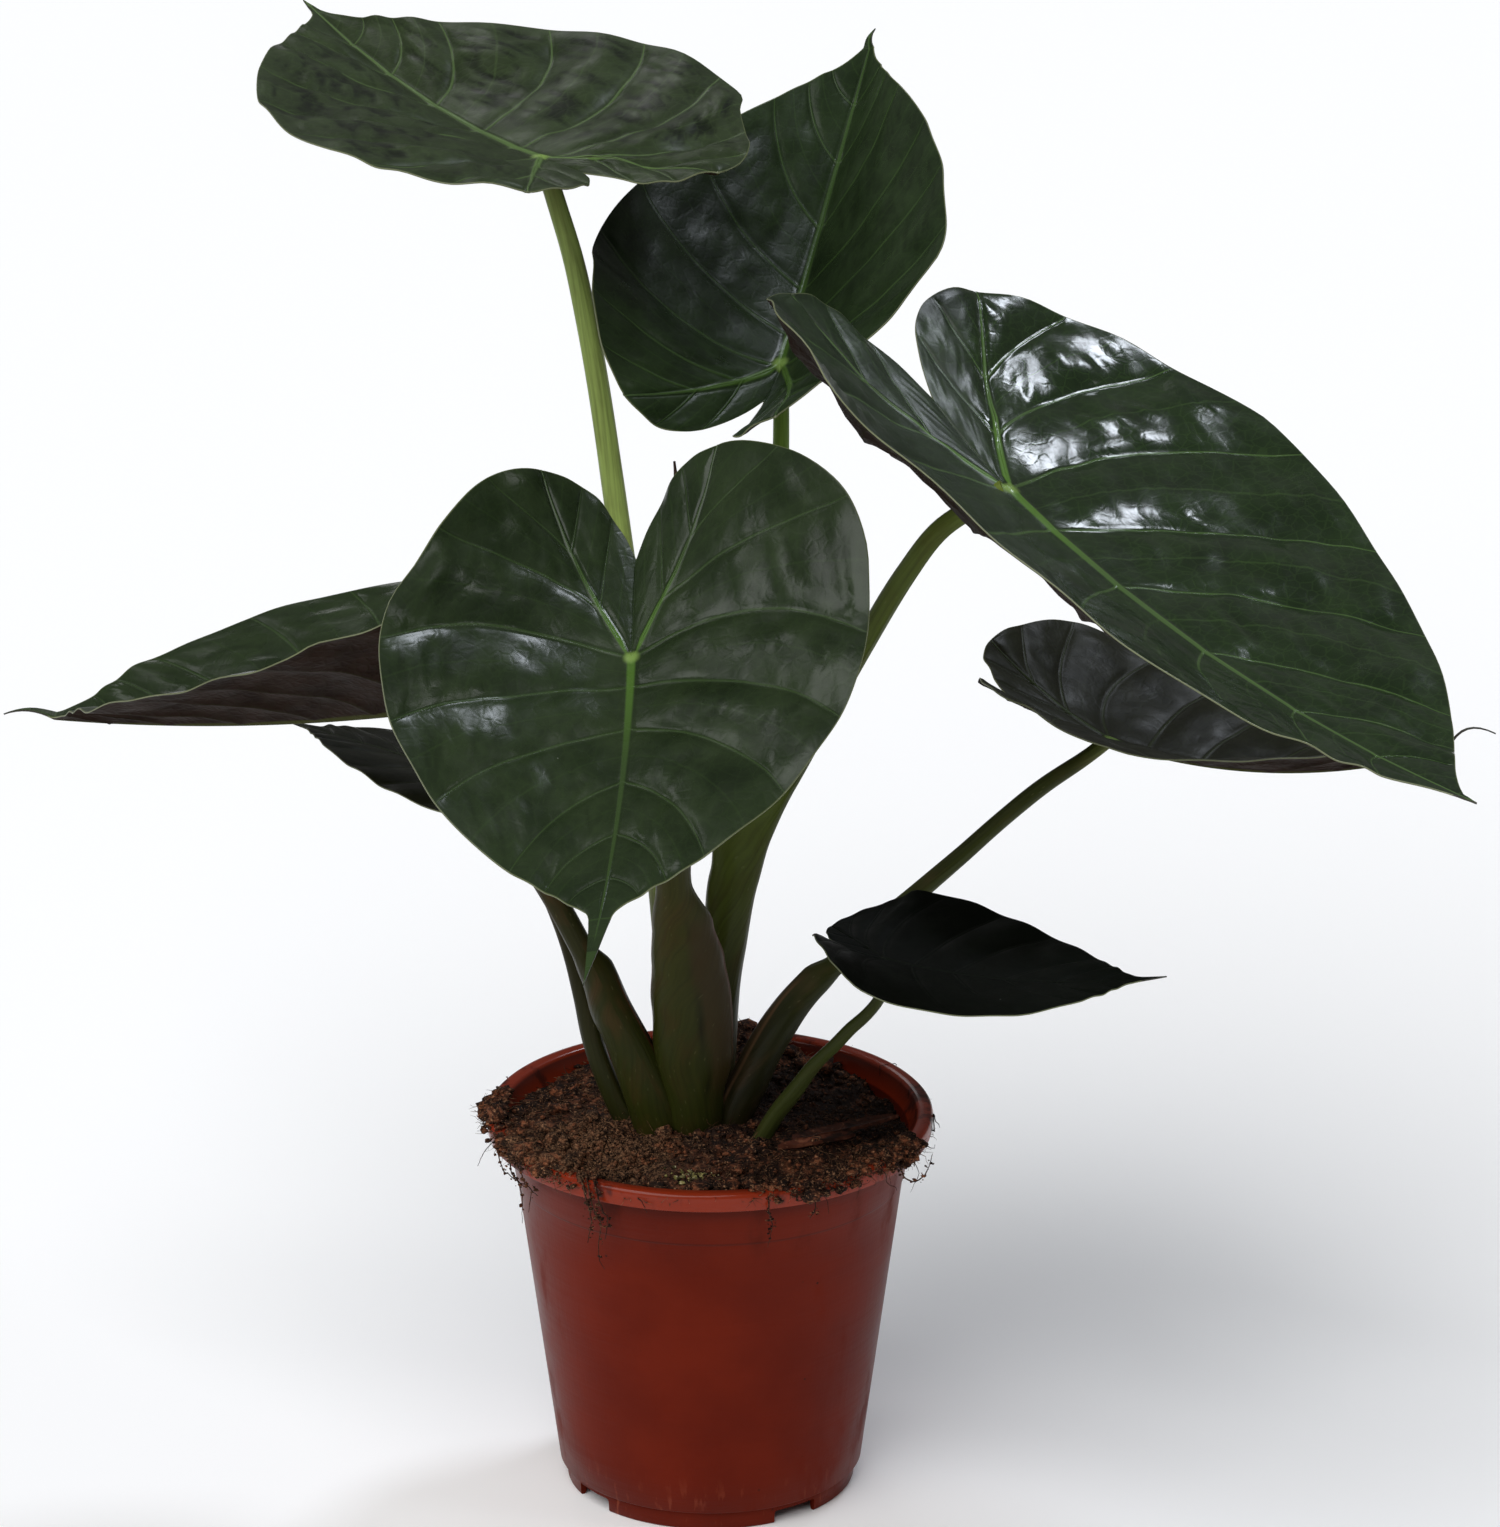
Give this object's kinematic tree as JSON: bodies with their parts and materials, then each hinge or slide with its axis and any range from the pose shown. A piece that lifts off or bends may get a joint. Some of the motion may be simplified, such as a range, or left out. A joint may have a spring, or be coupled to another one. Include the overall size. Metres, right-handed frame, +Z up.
{
  "type": "potted alocasia plant",
  "caption": "Potted aroid house plant: heart-shaped, ribbed, waved leaf blades on clasping stalks, a rolled young leaf, heaped soil and a flanged nursery pot.",
  "frame": {"origin": "on the floor, under the middle of the whole plant's box", "axes": "+Z up, +X to the right in the picture along the widest spread of the leaves, +Y away from the camera"},
  "size_m": [0.6384, 0.547, 0.5988],
  "materials": {
    "blade": "glossy dark green leaf",
    "blade_shaded": "satin very dark green leaf",
    "stalk": "satin olive green",
    "young_leaf": "satin brown",
    "pot": "satin terracotta plastic",
    "soil": "rough moist peat"
  },
  "bodies": {
    "root": {"blade_top_left": "blade", "blade_top_middle": "blade", "blade_front": "blade", "blade_right": "blade", "blade_left": "blade", "blade_left_lower": "blade_shaded", "blade_right_lower": "blade_shaded", "blade_right_small": "blade_shaded", "stalk_front": "stalk", "stalk_left": "stalk", "stalk_right_lower": "stalk", "stalk_top_left": "stalk", "stalk_right": "stalk", "stalk_right_small": "stalk", "stalk_left_lower": "stalk", "stalk_top_middle": "stalk", "young_leaf": "young_leaf", "pot": "pot", "soil": "soil"}
  },
  "joints": []
}
